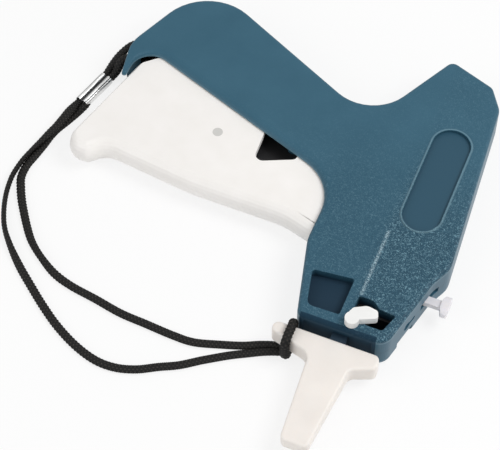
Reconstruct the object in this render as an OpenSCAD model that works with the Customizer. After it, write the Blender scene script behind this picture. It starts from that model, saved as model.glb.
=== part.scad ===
// Garment tag attacher: a hand tool that pushes nylon fasteners through a hollow needle.
// It lies on its side. The needle points to -Y, the handle slants off to -X, and Z is the thickness.
// Outline points below are measured from the needle's axis (X) and the nose's front face (Y).

/* [Housing] */
// Thickness across both half shells
body_t = 15; // [14:0.5:17]
// Thickness of each shell's flat face
face_t = 1.8; // [1.6:0.1:2]
// Thickness of the side walls
wall_t = 2; // [1.7:0.1:2.2]
// Width of the rounding along the outer edges
edge_w = 1.2; // [0.8:0.1:1.5]
// Height of that rounding
edge_h = 1.8; // [1.2:0.1:1.8]
// Depth of the oval recess
recess_d = 0.9; // [0.4:0.1:1.1]
// Depth of the nose's closed window
pocket_d = 3.4; // [2:0.1:3.4]

/* [Screws and pins] */
// Diameter of the housing screws
screw_d = 2.4; // [2:0.1:3]
// Diameter of the screw heads
screw_head_d = 4.6; // [4:0.1:5]
// Diameter of the trigger's pivot pin
pivot_pin_d = 4; // [3:0.1:4.4]
// Diameter of the drive lever's pin
lever_pin_d = 2.5; // [2:0.1:2.8]
// Diameter of the pin that links the trigger to the lever
link_pin_d = 3.6; // [3:0.1:3.8]
// Gap between a turning bore and its pin, on the radius
bore_gap = 0.05; // [0.03:0.01:0.08]
// Gap between moving neighbours
move_gap = 0.4; // [0.35:0.05:0.5]

/* [Trigger and drive] */
// How far the trigger turns
trigger_turn = 20; // [16:1:20]
// How far the drive lever turns meanwhile
lever_turn = 44; // [40:1:44]
// Angle of the lever's long arm at rest, from the X axis
lever_rest = 36; // [34:1:36]
// Thickness of the drive lever
lever_t = 2; // [1.6:0.1:2.2]
// Thickness of the trigger's side walls
trigger_wall = 1.8; // [1.5:0.1:2]

/* [Needle and rod] */
// Outer diameter of the needle
needle_d = 2.4; // [2.2:0.1:2.6]
// Reach of the needle beyond the nose
needle_reach = 30; // [26:1:34]
// Diameter of the push rod
rod_d = 1.6; // [1.2:0.1:1.7]

/* [Cap, knob and cord] */
// Length of the cap
cap_l = 39; // [38:0.5:42]
// Thickness of the cap at its ears
cap_t = 7.3; // [6.8:0.1:8]
// Thickness of the cap at its tip
cap_tip_t = 5.2; // [4.8:0.1:6]
// Height of the lock lever above the housing
lock_h = 3; // [2:0.1:4]
// Diameter of the cord
cord_d = 2.9; // [2.5:0.1:3.1]
// Length of the ferrule
ferrule_l = 14; // [12:0.5:15]

/* [Hidden] */

$fn = 48;
eps = 0.01;
mid = body_t / 2;            // height of the parting plane and of the needle's axis
deep = mid - face_t;         // half height of the space inside
body_blue = "#456a80";
white = "#f2efea";
steel = "#b8bcc0";
black = "#26262a";

// Outline of the housing, counterclockwise: x, y, radius of the corner
nose_left = [-15.1, 0, 3];
nose_right = [15.4, 0, 5];
waist = [22, 28, 10];
shoulder = [25.5, 35.5, 8];
hump_right = [20.2, 104, 6];
hump_cut = [15, 112.2, 3];
hump_left = [-2.1, 118.3, 3];
saddle = [-20.3, 83, 16];
handle_back = [-96.4, 119.8, 19.6];
handle_end = [-111.5, 83.2, 14];
lip_outer = [-108.8, 68.6, 0.9];
lip_inner = [-107.2, 69.1, 0.7];
arch = [-107, 84.2, 7.5];
crotch = [-22.4, 53.8, 18];
cheek = [-22.6, 29, 12];
closed_end = [-110.5, 85.5, 3];
front_bevel = 2.5;           // the mouth's rim is rounded this many times as wide

common = [nose_left, nose_right, waist, shoulder, hump_right, hump_cut, hump_left, saddle,
    handle_back];
outline = concat(common, [handle_end, lip_outer, lip_inner, arch, crotch, cheek]);
outline_w = [1, 1, 1, 1, 1, 1, 1, 1, 1, 0.5, 0.5, 0.3, front_bevel, 1, 1];
inner = concat(common, [closed_end, crotch, cheek]);
inner_w = [1, 1, 1, 1, 1, 1, 1, 1, 1, -1.5, 1, 1];
side_mouth = [[-28, 31, 1], [-19.6, 31, 1], [-19.6, 57, 1], [-28, 60, 1]];

// Pivots and pins
trigger_axis = [-17.5, 40];
lever_axis = [-42, 66.5];
link_pin = [-67.6, 58.9];
slide_x = 7;                 // the carriage's pin, beside the needle's axis
slide_rest = lever_axis.y + (slide_x - lever_axis.x) * tan(lever_rest);
slide_end = lever_axis.y + (slide_x - lever_axis.x) * tan(lever_rest - lever_turn);
slide_l = 12;
slide_left = -2.6;
slide_right = 12;
rod_tip = 18.9;
sweep_r = 98.9;              // the trigger's far end passes inside this radius
lever_z = 4.3;
lever_boss_d = 4.6;
screws = [[-14, 24.5], [18, 44], [16.4, 99.5], [-95, 105.5], [-40, 88.5]];
screw_boss_d = 6;

// Nose
pocket = [[-13.4, 4.6, 2.5], [-2.2, 4.9, 0.8], [-2.2, 19.4, 0.8], [-16.5, 17.8, 1.2]];
window = [[7, 4.4, 0.6], [12.7, 4.4, 1], [15, 11.2, 0.6], [9.2, 11.6, 1.5], [6.5, 14, 3.5],
    [1.3, 14, 0.8], [1.3, 9, 0.6]];
front_panel = [[-13.2, -1, 0.3], [11.2, -1, 0.3], [10.6, 0.8, 0.3], [-12.6, 0.8, 0.3]];
window_skirt = 4.5;
lock_axis = [2.5, 3.7];
lock_pin_d = 2.4;
hub_w = 5.2;                 // the needle's foot where it leaves the nose
hub_reach = 6.5;
track_y = 13.3;              // the fasteners' channel
needle_seat = track_y - 3.7; // the needle's foot ends here, short of the cutter
wheel_axis = [8.2, 24.8];
wheel_r = 5.6;
teeth = 12;
pawl_axis = [15.5, 36.6];
knob_y = 24.9;
knob_w = 2.8;
knob_back = 4;               // how far the knob slides back
knob_front = 1.5;

// Trigger outline, counterclockwise from the hooked end
hook = [-116.9, 34.5, 6];
trigger_outline = [hook, [-106.6, 34.2, 3], [-101, 39.4, 7], [-68, 35.6, 60], [-34, 35.4, 20],
    [-22, 32, 4], [-12, 33.4, 5], [-11.8, 46.4, 5], [-22, 58, 6], [-37.6, 65, 1.5],
    [-38.6, 58.3, 1.5], [-51.6, 52.3, 2.4], [-52.6, 69, 1.5], [-99, 82.4, 5], [-106.4, 75.6, 3]];
trigger_w = [1, 1, 1, 1, 1, 0.3, 0.05, 0.05, 0.05, 0.05, 0.05, 0.05, 0.05, 0.1, 0.45];
trigger_half = deep - move_gap;
trigger_round = 5;

// Cap outline: x, y, radius; its half thickness falls from the ears to the tip
cap_back = -2.4;
cap_tip = cap_back - cap_l;
cap_outline = [[-22, -6, 1.8], [-7, -10, 4], [-4.6, cap_tip, 2.2], [4.6, cap_tip, 2.2],
    [7.3, -10.8, 3], [15.4, -7.4, 2.2], [14.8, cap_back, 2], [-21, cap_back, 2]];
cap_edge = 0.8;
taper_from = -10;
cap_hub_y = -8;
arc_step = 9;                // most degrees that one straight piece of a rounding turns

// The frame's origin is the middle of the footprint, on the table
left_end = -115.75;
knob_end = 29.1;
hump_top = max([for (p = rounded(outline)) p.y]);
shift = [-(left_end + knob_end) / 2, -(hump_top + cap_tip) / 2, 0];

// Cord: x, y, z of each stretch, in the frame of the outline
ferrule_top = [-117.3, 73.2];
ferrule_low = [-120.9, 59.6];
cord_r = cord_d / 2;
bight_points = [[-115.8, 73.5, 2.1], [-115.1, 76.6, 2.8], [-114.8, 79.6, 4.2], [-113.4, 82.2, 5],
    [-110.8, 82.9, 5], [-107, 82.9, 5], [-104.7, 84.3, 5], [-103.5, 87.2, 5], [-104.2, 90.2, 5],
    [-105.6, 91.4, 5], [-108.6, 91.4, 5], [-111.6, 90.6, 5], [-114.4, 88.4, 4.7],
    [-116.3, 84.6, 3.9], [-117.6, 79.6, 2.9], [-118.3, 74.2, 2.1]];
outer_points = [[-122.3, 59, 2.1], [-123.2, 54.8, 3.8], [-123.8, 49.4, 4.7], [-124.8, 44.6, 4.7],
    [-126.4, 41, 4.4], [-128.3, 37.8, 3], [-129.6, 34.2, 1.8], [-130.5, 29.4, 1.5],
    [-130.2, 20.4, 1.5], [-128, 12, 1.5], [-123.4, 2.6, 1.5], [-118, -4, 1.5],
    [-111.4, -10.2, 1.5], [-104.4, -15.8, 1.5], [-96.8, -21.6, 1.5], [-89, -26.8, 1.5],
    [-80.2, -31.2, 1.5], [-72, -33.6, 1.5], [-65, -33.6, 1.5], [-58.4, -31.6, 1.5],
    [-52, -28, 1.5], [-46, -24.8, 1.5], [-39.4, -20, 1.5], [-33.6, -16.4, 1.5],
    [-28, -13.4, 1.5], [-23.4, -11, 1.7], [-20, -9.7, 2]];
inner_points = [[-119.3, 58.8, 2.1], [-120.6, 54.8, 1.7], [-122.4, 50.4, 1.5], [-124.3, 46, 1.5],
    [-125.3, 42, 1.5], [-125.5, 37.8, 1.5], [-126, 33, 1.5], [-127, 27.8, 1.5],
    [-126.8, 22.8, 1.5], [-125, 18.6, 1.5], [-122.6, 14.4, 1.5], [-119.6, 10, 1.5],
    [-115.6, 4.6, 1.5], [-111.6, 0, 1.5], [-106.4, -4.2, 1.5], [-99.4, -8.4, 1.5],
    [-91.8, -10.8, 1.5], [-82, -12.4, 1.5], [-72, -14.2, 1.5], [-62.4, -14.8, 1.5],
    [-52.6, -15.4, 1.5], [-45.2, -15.2, 1.5], [-37, -12.8, 1.5], [-29.6, -10.2, 1.5],
    [-24.6, -7.7, 1.6], [-20.2, -6, 2]];
hitch_points = [[-19.2, -9.5, 2.2], [-17.6, -9.6, 2.4], [-16.2, -9.9, 3.8], [-15.7, -9.9, 7.5],
    [-15.4, -9.4, 11.2], [-15.3, -6.8, 12.8], [-15.3, -4, 12.9], [-15.5, -1.1, 12],
    [-15.9, -0.5, 8.4], [-16, -0.5, 5], [-15.9, -2.4, 2.1], [-16.6, -4.4, 2.1],
    [-18, -5.5, 2.1], [-19.2, -5.7, 2.2]];

// ---- Rounded outlines -------------------------------------------------------------------

// The i-th item of a list that closes on itself
function at(list, i) = list[(i + len(list)) % len(list)];
function flat(p) = [p.x, p.y];
function unit(v) = v / norm(v);
function cross2(a, b) = a.x * b.y - a.y * b.x;
function rot2(p, a) = [p.x * cos(a) - p.y * sin(a), p.x * sin(a) + p.y * cos(a)];

// Points of the arc that rounds corner b between its neighbours a and c
function arc_at(a, b, c, r) =
    let (u = unit(a - b))
    let (v = unit(c - b))
    let (half = acos(u * v) / 2)
    let (centre = b + unit(u + v) * r / sin(half))
    let (from = b + u * r / tan(half) - centre)
    let (to = b + v * r / tan(half) - centre)
    let (start = atan2(from.y, from.x))
    let (turn = (atan2(to.y, to.x) - start + 540) % 360 - 180)
    let (steps = max(2, ceil((180 - 2 * half) / arc_step - 0.01)))
    [for (i = [0:steps]) centre + r * [cos(start + turn * i / steps),
        sin(start + turn * i / steps)]];

function rounded(corners) = [for (i = [0:len(corners) - 1])
    each arc_at(flat(at(corners, i - 1)), flat(corners[i]), flat(at(corners, i + 1)),
        corners[i].z)];

// Corners of an outline moved inward by d, each edge by its own weight w
function inset(corners, w, d) = [for (i = [0:len(corners) - 1])
    let (b = flat(corners[i]))
    let (s = unit(b - flat(at(corners, i - 1))))
    let (t = unit(flat(at(corners, i + 1)) - b))
    let (p = b + d * at(w, i - 1) * [-s.y, s.x])
    let (q = b + d * w[i] * [-t.y, t.x])
    let (hit = p + s * cross2(q - p, t) / cross2(s, t))
    let (bend = cross2(s, t) > 0 ? -1 : 1)
    let (r = corners[i].z + bend * d * (at(w, i - 1) + w[i]) / 2)
    [hit.x, hit.y, max(r, 0.15)]];

function same(corners) = [for (c = corners) 1];

// Is point p inside the triangle a, b, c, or on its edge?
function inside(p, a, b, c) =
    min(cross2(b - a, p - a), cross2(c - b, p - b), cross2(a - c, p - c)) > -1e-9;

// Can the corner at place i of the ring idx be cut off as a triangle of its own?
function is_ear(pts, idx, i) =
    let (h = at(idx, i - 1))
    let (j = at(idx, i + 1))
    let (a = flat(pts[h]))
    let (b = flat(pts[idx[i]]))
    let (c = flat(pts[j]))
    cross2(b - a, c - b) > 1e-9
        && len([for (k = idx) if (k != h && k != idx[i] && k != j && inside(flat(pts[k]), a, b, c)) k])
            == 0;

function first_ear(pts, idx, i) = i >= len(idx) ? 0 : is_ear(pts, idx, i) ? i
    : first_ear(pts, idx, i + 1);

function without(list, i) = [for (j = [0:len(list) - 1]) if (j != i) list[j]];

// Triangles that fill a ring, however it bends: corners are cut off one by one.
// Each search starts where the last one ended, which keeps the triangles wide.
function ears(pts, idx, from = 0) = len(idx) < 3 ? [] :
    let (turned = [for (k = [0:len(idx) - 1]) at(idx, k + from)])
    let (i = first_ear(pts, turned, 0))
    concat([[at(turned, i - 1), turned[i], at(turned, i + 1)]],
        ears(pts, without(turned, i), i + 1));

// A closed solid through rings that have the same number of points, from the bottom up.
// Its end faces are plain polygons, fans round a hub point each, or filled by ears().
module loft(rings, hubs = [], bent = false) {
    n = len(rings[0]);
    top = len(rings) - 1;
    sides = [for (k = [0:top - 1]) for (i = [0:n - 1]) each [
        [k * n + i, (k + 1) * n + (i + 1) % n, k * n + (i + 1) % n],
        [k * n + i, (k + 1) * n + i, (k + 1) * n + (i + 1) % n]]];
    hub = n * len(rings);
    around = [for (i = [0:n - 1]) i];
    plain = [around, [for (i = [n - 1:-1:0]) top * n + i]];
    fans = [for (i = around) each [[hub, i, (i + 1) % n], [hub + 1, top * n + (i + 1) % n, top * n + i]]];
    filled = bent ? concat(ears(rings[0], around),
        [for (f = ears(rings[top], around)) [for (k = [0, 2, 1]) top * n + f[k]]]) : [];
    polyhedron(points = concat([for (r = rings) each r], hubs),
        faces = concat(sides, bent ? filled : len(hubs) > 0 ? fans : plain), convexity = 10);
}

// A tube of radius r through points, with flat ends
module tube(points, r, sides = 8) {
    last = len(points) - 1;
    rings = [for (k = [0:last])
        let (dir = unit(points[min(k + 1, last)] - points[max(k - 1, 0)]))
        let (side = unit(cross([0, 0, 1], dir)))
        let (up = cross(dir, side))
        [for (i = [0:sides - 1]) points[k]
            + r * (side * cos(360 * (i + 0.5) / sides) + up * sin(360 * (i + 0.5) / sides))]];
    loft(rings);
}

// A bar with round ends from a to b
module bar(a, b, w, h) {
    for (p = [a, b]) translate(p) cylinder(d = w, h = h);
    translate(a) rotate(atan2(b.y - a.y, b.x - a.x)) translate([0, -w / 2, 0])
        cube([norm(b - a), w, h]);
}

module slab(corners, z, h) {
    translate([0, 0, z]) linear_extrude(h) polygon(rounded(corners));
}

module box(x, y, z) {
    translate([x[0], y[0], z[0]]) cube([x[1] - x[0], y[1] - y[0], z[1] - z[0]]);
}

// The range that reaches half to each side of c
function about(c, half) = [c - half, c + half];

module rod_y(x, y0, y1, z, d) {
    translate([x, y1, z]) rotate([90, 0, 0]) cylinder(d = d, h = y1 - y0);
}

module placed(tint) {
    color(tint) translate(shift) children();
}

// ---- Housing, drawn with the parting plane at height 0 and the face at height mid ----------

function shell_ring(d, z) = [for (p = rounded(inset(outline, outline_w, d))) [p.x, p.y, z]];

module shell_outside() {
    steps = 4;
    curve = [for (k = [0:steps]) shell_ring(edge_w * (1 - cos(90 * k / steps)),
        mid - edge_h + edge_h * sin(90 * k / steps))];
    loft(concat([shell_ring(0, 0)], curve), bent = true);
}

// The room for the trigger's far end, which passes through the end wall's mouth
module end_sweep() {
    intersection() {
        translate([trigger_axis.x, trigger_axis.y, -1]) cylinder(r = sweep_r, h = deep + 1, $fn = 180);
        box([-125, -90], [60, 90], [-1, deep]);
    }
}

module boss(p, d, top) {
    translate([p.x, p.y, 0]) cylinder(d = d, h = top);
}

// What both shells share: walls, screw bosses, supports of pins, rod and needle
module shell() {
    difference() {
        union() {
            difference() {
                shell_outside();
                slab(inset(inner, inner_w, wall_t), -1, deep + 1);
                slab(side_mouth, -1, deep + 1);
                end_sweep();
            }
            intersection() {
                for (s = screws) boss(s, screw_boss_d, deep + eps);
                slab(inset(outline, same(outline), 0.3), 0, deep + eps);
            }
            box([-3.5, 3.5], [37.5, 40.5], [0, deep + eps]);
            box([-5.5, 5.5], [1, needle_seat - 0.6], [hub_w / 2, deep + eps]);
        }
        rod_y(0, 30, 50, 0, rod_d + 0.6);
        box([-hub_w / 2 - 0.1, hub_w / 2 + 0.1], [-1, 3], [-1, hub_w / 2 + 0.1]);
        slab(front_panel, -1, mid - 1.4);
        translate([trigger_axis.x, trigger_axis.y, 0]) cylinder(d = pivot_pin_d, h = deep + 1.2);
        translate([wheel_axis.x, wheel_axis.y, 0]) cylinder(d = 3, h = deep + 1.2);
        knob_slot();
        keyhole();
    }
}

// The slot that the knob's stem slides along
module knob_slot() {
    box([14, 28], [knob_y - knob_w / 2 - knob_front - 0.6, knob_y + knob_w / 2 + knob_back + 0.6],
        [-1, 1.35]);
}

// The keyhole that the fasteners' runner goes into
module keyhole() {
    translate([12, track_y, 0]) rotate([0, 90, 0]) cylinder(d = 3.2, h = 14);
    box([12, 26], [track_y, track_y + 4.6], [-1, 0.7]);
}

module lever_boss(from) {
    translate([lever_axis.x, lever_axis.y, from]) cylinder(d = lever_boss_d, h = deep + eps - from);
}

module lever_socket() {
    translate([lever_axis.x, lever_axis.y, -1]) cylinder(d = lever_pin_d, h = deep + 2.2);
}

module housing_upper() {
    placed(body_blue) translate([0, 0, mid]) difference() {
        union() {
            shell();
            lever_boss(lever_z + lever_t + 0.15 - mid);
            box([slide_x - 2.8, slide_x - 1.2], [52, 112], [4, deep + eps]);
            slab(inset(window, same(window), -1.2), mid - window_skirt, window_skirt - face_t + eps);
            slab(inset(pocket, same(pocket), -1.2), mid - pocket_d - 1.4, pocket_d + 1.4 - face_t);
            recess_rim();
        }
        lever_socket();
        for (s = screws) boss(s, screw_d, deep + 0.4);
        slab(window, -1, mid + 2);
        slab(pocket, mid - pocket_d, pocket_d + 1);
        recess();
        translate([lock_axis.x, lock_axis.y, 0]) cylinder(d = lock_pin_d + 2 * bore_gap, h = 20);
    }
}

// Oval recess with a thin raised rim
recess_ends = [[9.7, 51.6], [9.7, 82.2]];
recess_w = 13.4;

module recess() {
    translate([0, 0, mid - recess_d]) bar(recess_ends[0], recess_ends[1], recess_w, 3);
}

module recess_rim() {
    translate([0, 0, mid - 1]) bar(recess_ends[0], recess_ends[1], recess_w + 1.2, 1.25);
}

module housing_lower() {
    placed(body_blue) translate([0, 0, mid]) mirror([0, 0, 1]) difference() {
        union() {
            shell();
            lever_boss(mid - lever_z + 0.15);
            boss(pawl_axis, 2, deep + eps);
        }
        lever_socket();
        for (s = screws) boss(s, screw_d + 0.4, mid + 1);
        for (s = screws) translate([s.x, s.y, mid - 2.3]) cylinder(d = screw_head_d + 0.4, h = 3);
        cord_hole(82.9);
        cord_hole(91.4);
        box([15.5, 24], [8, 17], [mid - 3.8, mid + 1]);
        translate([lock_axis.x, lock_axis.y, 0]) cylinder(d = lock_pin_d + 2 * bore_gap, h = deep);
    }
}

// Hole in the handle's end wall for one strand of the cord
module cord_hole(y) {
    translate([-116, y, 2.5]) rotate([0, 90, 0]) cylinder(d = cord_d + 0.7, h = 12);
}

module housing_screws() {
    placed(steel) for (s = screws) translate([s.x, s.y, 0]) difference() {
        union() {
            translate([0, 0, 0.5]) cylinder(d = screw_head_d, h = 1.8);
            translate([0, 0, 2.3]) cylinder(d = screw_d, h = mid + 3 - 2.3);
        }
        for (a = [0, 90]) rotate(a) box([-1.4, 1.4], [-0.3, 0.3], [0, 1.3]);
    }
}

// ---- Trigger and drive ---------------------------------------------------------------------

function trigger_ring(z) =
    let (d = trigger_round * (1 - sqrt(1 - pow(z / (trigger_half * 1.02), 2))))
    [for (p = rounded(inset(trigger_outline, trigger_w, d))) [p.x, p.y, mid + z]];

// Room inside the trigger, open towards the handle
channel = [[-110.6, 41.2, 5], [-101.8, 42.6, 6], [-68, 38.9, 40], [-34, 38.6, 18], [-24, 36.6, 4],
    [0, 36.6, 2], [0, 90, 2], [-112, 90, 2], [-112, 74, 1]];

module trigger() {
    placed(white) difference() {
        loft([for (k = [-6:6]) trigger_ring(trigger_half * sin(15 * k))], bent = true);
        slab(channel, mid - trigger_half + trigger_wall, 2 * (trigger_half - trigger_wall));
        translate([trigger_axis.x, trigger_axis.y, 0])
            cylinder(d = pivot_pin_d + 2 * bore_gap, h = body_t);
        translate([link_pin.x, link_pin.y, 0]) cylinder(d = link_pin_d, h = body_t);
        box([-118, -113.6], [42.6, 45.6], [mid - 1, mid + 1]);
    }
}

module trigger_pivot_pin() {
    placed(steel) translate([trigger_axis.x, trigger_axis.y, mid - deep - 1.1])
        cylinder(d = pivot_pin_d, h = 2 * deep + 2.2);
}

module trigger_link_pin() {
    placed("#c9c4ba") translate([link_pin.x, link_pin.y, mid - trigger_half])
        cylinder(d = link_pin_d, h = 2 * trigger_half);
}

// Torsion spring round the pivot pin, with one leg along the trigger's wall
module trigger_spring() {
    wire = 0.9;
    coil_r = pivot_pin_d / 2 + wire / 2 + 0.2;
    turns = 4;
    low = mid - trigger_half + trigger_wall + 1;
    steps = 14 * turns;
    coil = [for (k = [0:steps]) let (a = 90 - 360 * turns * k / steps)
        [trigger_axis.x + coil_r * cos(a), trigger_axis.y + coil_r * sin(a),
            low + (2 * trigger_half - 2 * trigger_wall - 2.4) * k / steps]];
    leg_low = [[trigger_axis.x - 14, trigger_axis.y + coil_r + 1.5, low],
        [trigger_axis.x - 6, trigger_axis.y + coil_r + 0.3, low]];
    high = coil[steps].z;
    leg_high = [[trigger_axis.x + 4, trigger_axis.y + coil_r, high],
        [trigger_axis.x + 7, trigger_axis.y + coil_r - 0.4, high]];
    placed(steel) tube(concat(leg_low, coil, leg_high), wire / 2, 6);
}

slide_pin_d = 3.4;

// Lever shapes are drawn from its pin, with x along the long arm
function on_lever(p) = let (q = lever_axis + rot2(flat(p), lever_rest + 1)) [q.x, q.y, p.z];
function in_short_arm(p) = let (q = rot2(flat(p), 161)) [q.x, q.y, p.z];

// Corners of a slot with round ends, from x0 to x1 along an arm
function slot(x0, x1, half) = [[x0, -half, half - 0.1], [x1, -half, half - 0.1],
    [x1, half, half - 0.1], [x0, half, half - 0.1]];

// Each slot is wide enough for the sideways path of its pin
link_slot = [for (p = slot(15.3, 29.5, link_pin_d / 2 + 1.05)) on_lever(in_short_arm(p))];
fork_slot = [for (p = slot(46.6, 70, slide_pin_d / 2 + 1.6)) on_lever(p)];
lever_outline = [for (p = concat(
    [[61.5, -5, 1], [61.5, 5, 1], [46, 5, 3], [42.5, 2.7, 3], [1, 4.3, 8]],
    [for (q = [[31, -4.8, 4.5], [31, 4.8, 4.5]]) in_short_arm(q)],
    [[-1.5, -5.2, 4], [5, -4.8, 6], [41, -3.3, 3], [45, -5, 3]])) on_lever(p)];

module drive_lever() {
    placed(black) difference() {
        slab(lever_outline, lever_z, lever_t);
        translate([lever_axis.x, lever_axis.y, 0]) cylinder(d = lever_pin_d + 2 * bore_gap, h = body_t);
        slab(link_slot, lever_z - 1, lever_t + 2);
        slab(fork_slot, lever_z - 1, lever_t + 2);
    }
}

module drive_lever_pin() {
    placed(steel) translate([lever_axis.x, lever_axis.y, mid - deep - 1.1])
        cylinder(d = lever_pin_d, h = 2 * deep + 2.2);
}

slide_z = lever_z + lever_t + 0.5;

module plunger_slide() {
    placed(black) difference() {
        box([slide_left, slide_right], [slide_rest - slide_l / 2, slide_rest + slide_l / 2],
            [slide_z, mid + deep - 0.3]);
        box([slide_x - 3.2, slide_x - 0.8], [slide_rest - 20, slide_rest + 20],
            [mid + 3.6, body_t]);
        translate([slide_x, slide_rest, slide_z - 1]) cylinder(d = slide_pin_d, h = 4);
        rod_y(0, slide_rest - slide_l, slide_rest + 1, mid, rod_d);
    }
}

module slide_drive_pin() {
    placed(steel) translate([slide_x, slide_rest, lever_z - 0.4])
        cylinder(d = slide_pin_d, h = slide_z + 3 - lever_z + 0.4);
}

module push_rod() {
    placed(steel) rod_y(0, rod_tip, slide_rest + 1, mid, rod_d);
}

// ---- Nose ----------------------------------------------------------------------------------

module fastener_guide() {
    placed(black) difference() {
        box([-3.6, 15.4], [track_y - 2.4, track_y + 5.1], [mid - deep, mid + deep - pocket_d + 0.2]);
        translate([-5, track_y, mid]) rotate([0, 90, 0]) cylinder(d = 2.6, h = 25);
        box([-5, 17], [track_y, track_y + 7], [mid - 0.6, mid + 0.6]);
        rod_y(0, track_y - 3, track_y + 7, mid, rod_d + 0.6);
    }
}

module cutter_blade() {
    placed(steel) difference() {
        box([-4, 4], [track_y - 3.2, track_y - 2.6], [mid - 4, mid + 2.6]);
        rod_y(0, track_y - 4, track_y - 2, mid, rod_d + 0.5);
        box([0, 5], [track_y - 4, track_y - 2], [mid - 0.4, mid + 0.4]);
    }
}

module feed_wheel() {
    step = 360 / teeth;
    rim = [for (k = [0:teeth - 1]) each [
        wheel_r * [cos(k * step), sin(k * step)],
        (wheel_r - 1.3) * [cos(k * step + 4), sin(k * step + 4)],
        (wheel_r - 1) * [cos((k + 0.6) * step), sin((k + 0.6) * step)]]];
    placed(white) translate([wheel_axis.x, wheel_axis.y, mid - 2]) difference() {
        union() {
            linear_extrude(3) polygon(rim);
            cylinder(d = 6, h = 4.4);
        }
        translate([0, 0, -1]) cylinder(d = 3 + 2 * bore_gap, h = 8);
    }
}

module feed_axle() {
    placed(steel) translate([wheel_axis.x, wheel_axis.y, mid - deep - 1.1])
        cylinder(d = 3, h = 2 * deep + 2.2);
}

module feed_pawl() {
    tip = [13.4, 29.6];
    placed(steel) translate([0, 0, mid - 1.8]) difference() {
        union() {
            bar(pawl_axis, tip, 1.6, 2.4);
            translate(pawl_axis) cylinder(d = 3.8, h = 2.4);
        }
        translate([pawl_axis.x, pawl_axis.y, -1]) cylinder(d = 2 + 2 * bore_gap, h = 5);
    }
}

module feed_release_knob() {
    stem_z = about(mid, 1.05);
    head_half = 3.9;
    head_r = 1.9;
    placed("#e8e6e4") {
        box([16.4, 27], about(knob_y, knob_w / 2), stem_z);
        box([16.4, 17.9], about(knob_y, 2.9), about(mid, 3));
        intersection() {
            slab([[26.2, knob_y - knob_w / 2, 0.8], [27.2, knob_y - head_half, 0.6],
                [knob_end, knob_y - head_half, 0.8], [knob_end, knob_y + head_half, 0.8],
                [27.2, knob_y + head_half, 0.6], [26.2, knob_y + knob_w / 2, 0.8]], 0, body_t);
            translate([knob_end - 3.8, knob_y, 0]) union() {
                for (side = [-1, 1]) translate([0, side * (head_half - head_r), mid])
                    rotate([0, 90, 0]) cylinder(r = head_r, h = 6);
                box([0, 6], about(0, head_half - head_r), about(mid, head_r));
            }
        }
    }
}

module needle_base() {
    placed(black) difference() {
        union() {
            box(about(0, 3.6), [3.2, needle_seat], about(mid, 2.5));
            box(about(0, hub_w / 2), [-hub_reach, 3.3], about(mid, hub_w / 2));
        }
        rod_y(0, -20, 20, mid, needle_d);
        translate([lock_axis.x, lock_axis.y, 0]) cylinder(d = lock_pin_d + 0.6, h = body_t);
        box([lock_axis.x, 5], about(lock_axis.y, lock_pin_d / 2 + 0.3), [0, body_t]);
    }
}

// Hollow needle with a slit along its side and a slanted point
module needle() {
    placed(steel) difference() {
        rod_y(0, -needle_reach, needle_seat, mid, needle_d);
        rod_y(0, -needle_reach - 1, needle_seat + 1, mid, rod_d + 0.3);
        box([0, 2], [-needle_reach - 1, needle_seat + 1], [mid - 0.3, mid + 0.3]);
        translate([0, -needle_reach, mid + needle_d / 2]) rotate([-38, 0, 0])
            box([-2, 2], [-6, 0], [-4, 4]);
    }
}

module needle_lock_lever() {
    paddle = [[0.5, 4.8, 1], [5, 3.9, 1.5], [10.4, 6.5, 1], [9.4, 9.1, 1.2], [5.6, 9.7, 3],
        [1.6, 7.4, 1.5]];
    placed("#e9e9e7") {
        slab(paddle, body_t + 0.05, lock_h - 0.05);
        translate([lock_axis.x, lock_axis.y, body_t + 0.05]) cylinder(d = 4.8, h = lock_h - 0.05);
        translate([lock_axis.x, lock_axis.y, mid - deep + 0.2])
            cylinder(d = lock_pin_d, h = body_t - mid + deep);
    }
}

function cap_half(y) = cap_t / 2
    - (cap_t - cap_tip_t) / 2 * max(0, taper_from - y) / (taper_from - cap_tip);
function cap_ring(d, share) = [for (p = rounded(inset(cap_outline, same(cap_outline), d)))
    [p.x, p.y, mid + share * cap_half(p.y)]];

module needle_cap() {
    socket = hub_w / 2 + 0.25;
    steps = 3;
    low = [for (k = [0:steps]) let (a = 90 * k / steps) cap_ring(cap_edge * (1 - sin(a)),
        -1 + 0.22 * (1 - cos(a)))];
    high = [for (k = [0:steps]) let (a = 90 * k / steps) cap_ring(cap_edge * (1 - cos(a)),
        1 - 0.22 * (1 - sin(a)))];
    placed(white) difference() {
        loft(concat(low, high), [for (side = [-1, 1]) [0, cap_hub_y, mid + side * cap_t / 2]]);
        box(about(0, socket), [-hub_reach - 2.7, 0], about(mid, socket));
        rod_y(0, -needle_reach - 4, 0, mid, needle_d + 0.9);
    }
}

// ---- Wrist cord ----------------------------------------------------------------------------

module lanyard_hitch() {
    placed(black) tube(hitch_points, cord_r);
}

module lanyard_ferrule() {
    run = ferrule_low - ferrule_top;
    wide = 5.2;
    high = 4;
    placed("#c4c8cc") translate([ferrule_top.x, ferrule_top.y, high / 2 + 0.05])
        rotate(atan2(run.y, run.x)) rotate([0, 90, 0]) difference() {
            union() {
                for (side = [-1, 1]) translate([0, side * (wide - high) / 2, 0])
                    cylinder(d = high, h = ferrule_l);
                translate([-high / 2, -(wide - high) / 2, 0]) cube([high, wide - high, ferrule_l]);
            }
            for (side = [-1, 1]) translate([0, side * 1.25, -1]) cylinder(d = 2, h = ferrule_l + 2);
        }
}

module lanyard_bight() {
    placed(black) tube(bight_points, cord_r);
}

module lanyard_cord_outer() {
    placed(black) tube(outer_points, cord_r);
}

module lanyard_cord_inner() {
    placed(black) tube(inner_points, cord_r);
}

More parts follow.
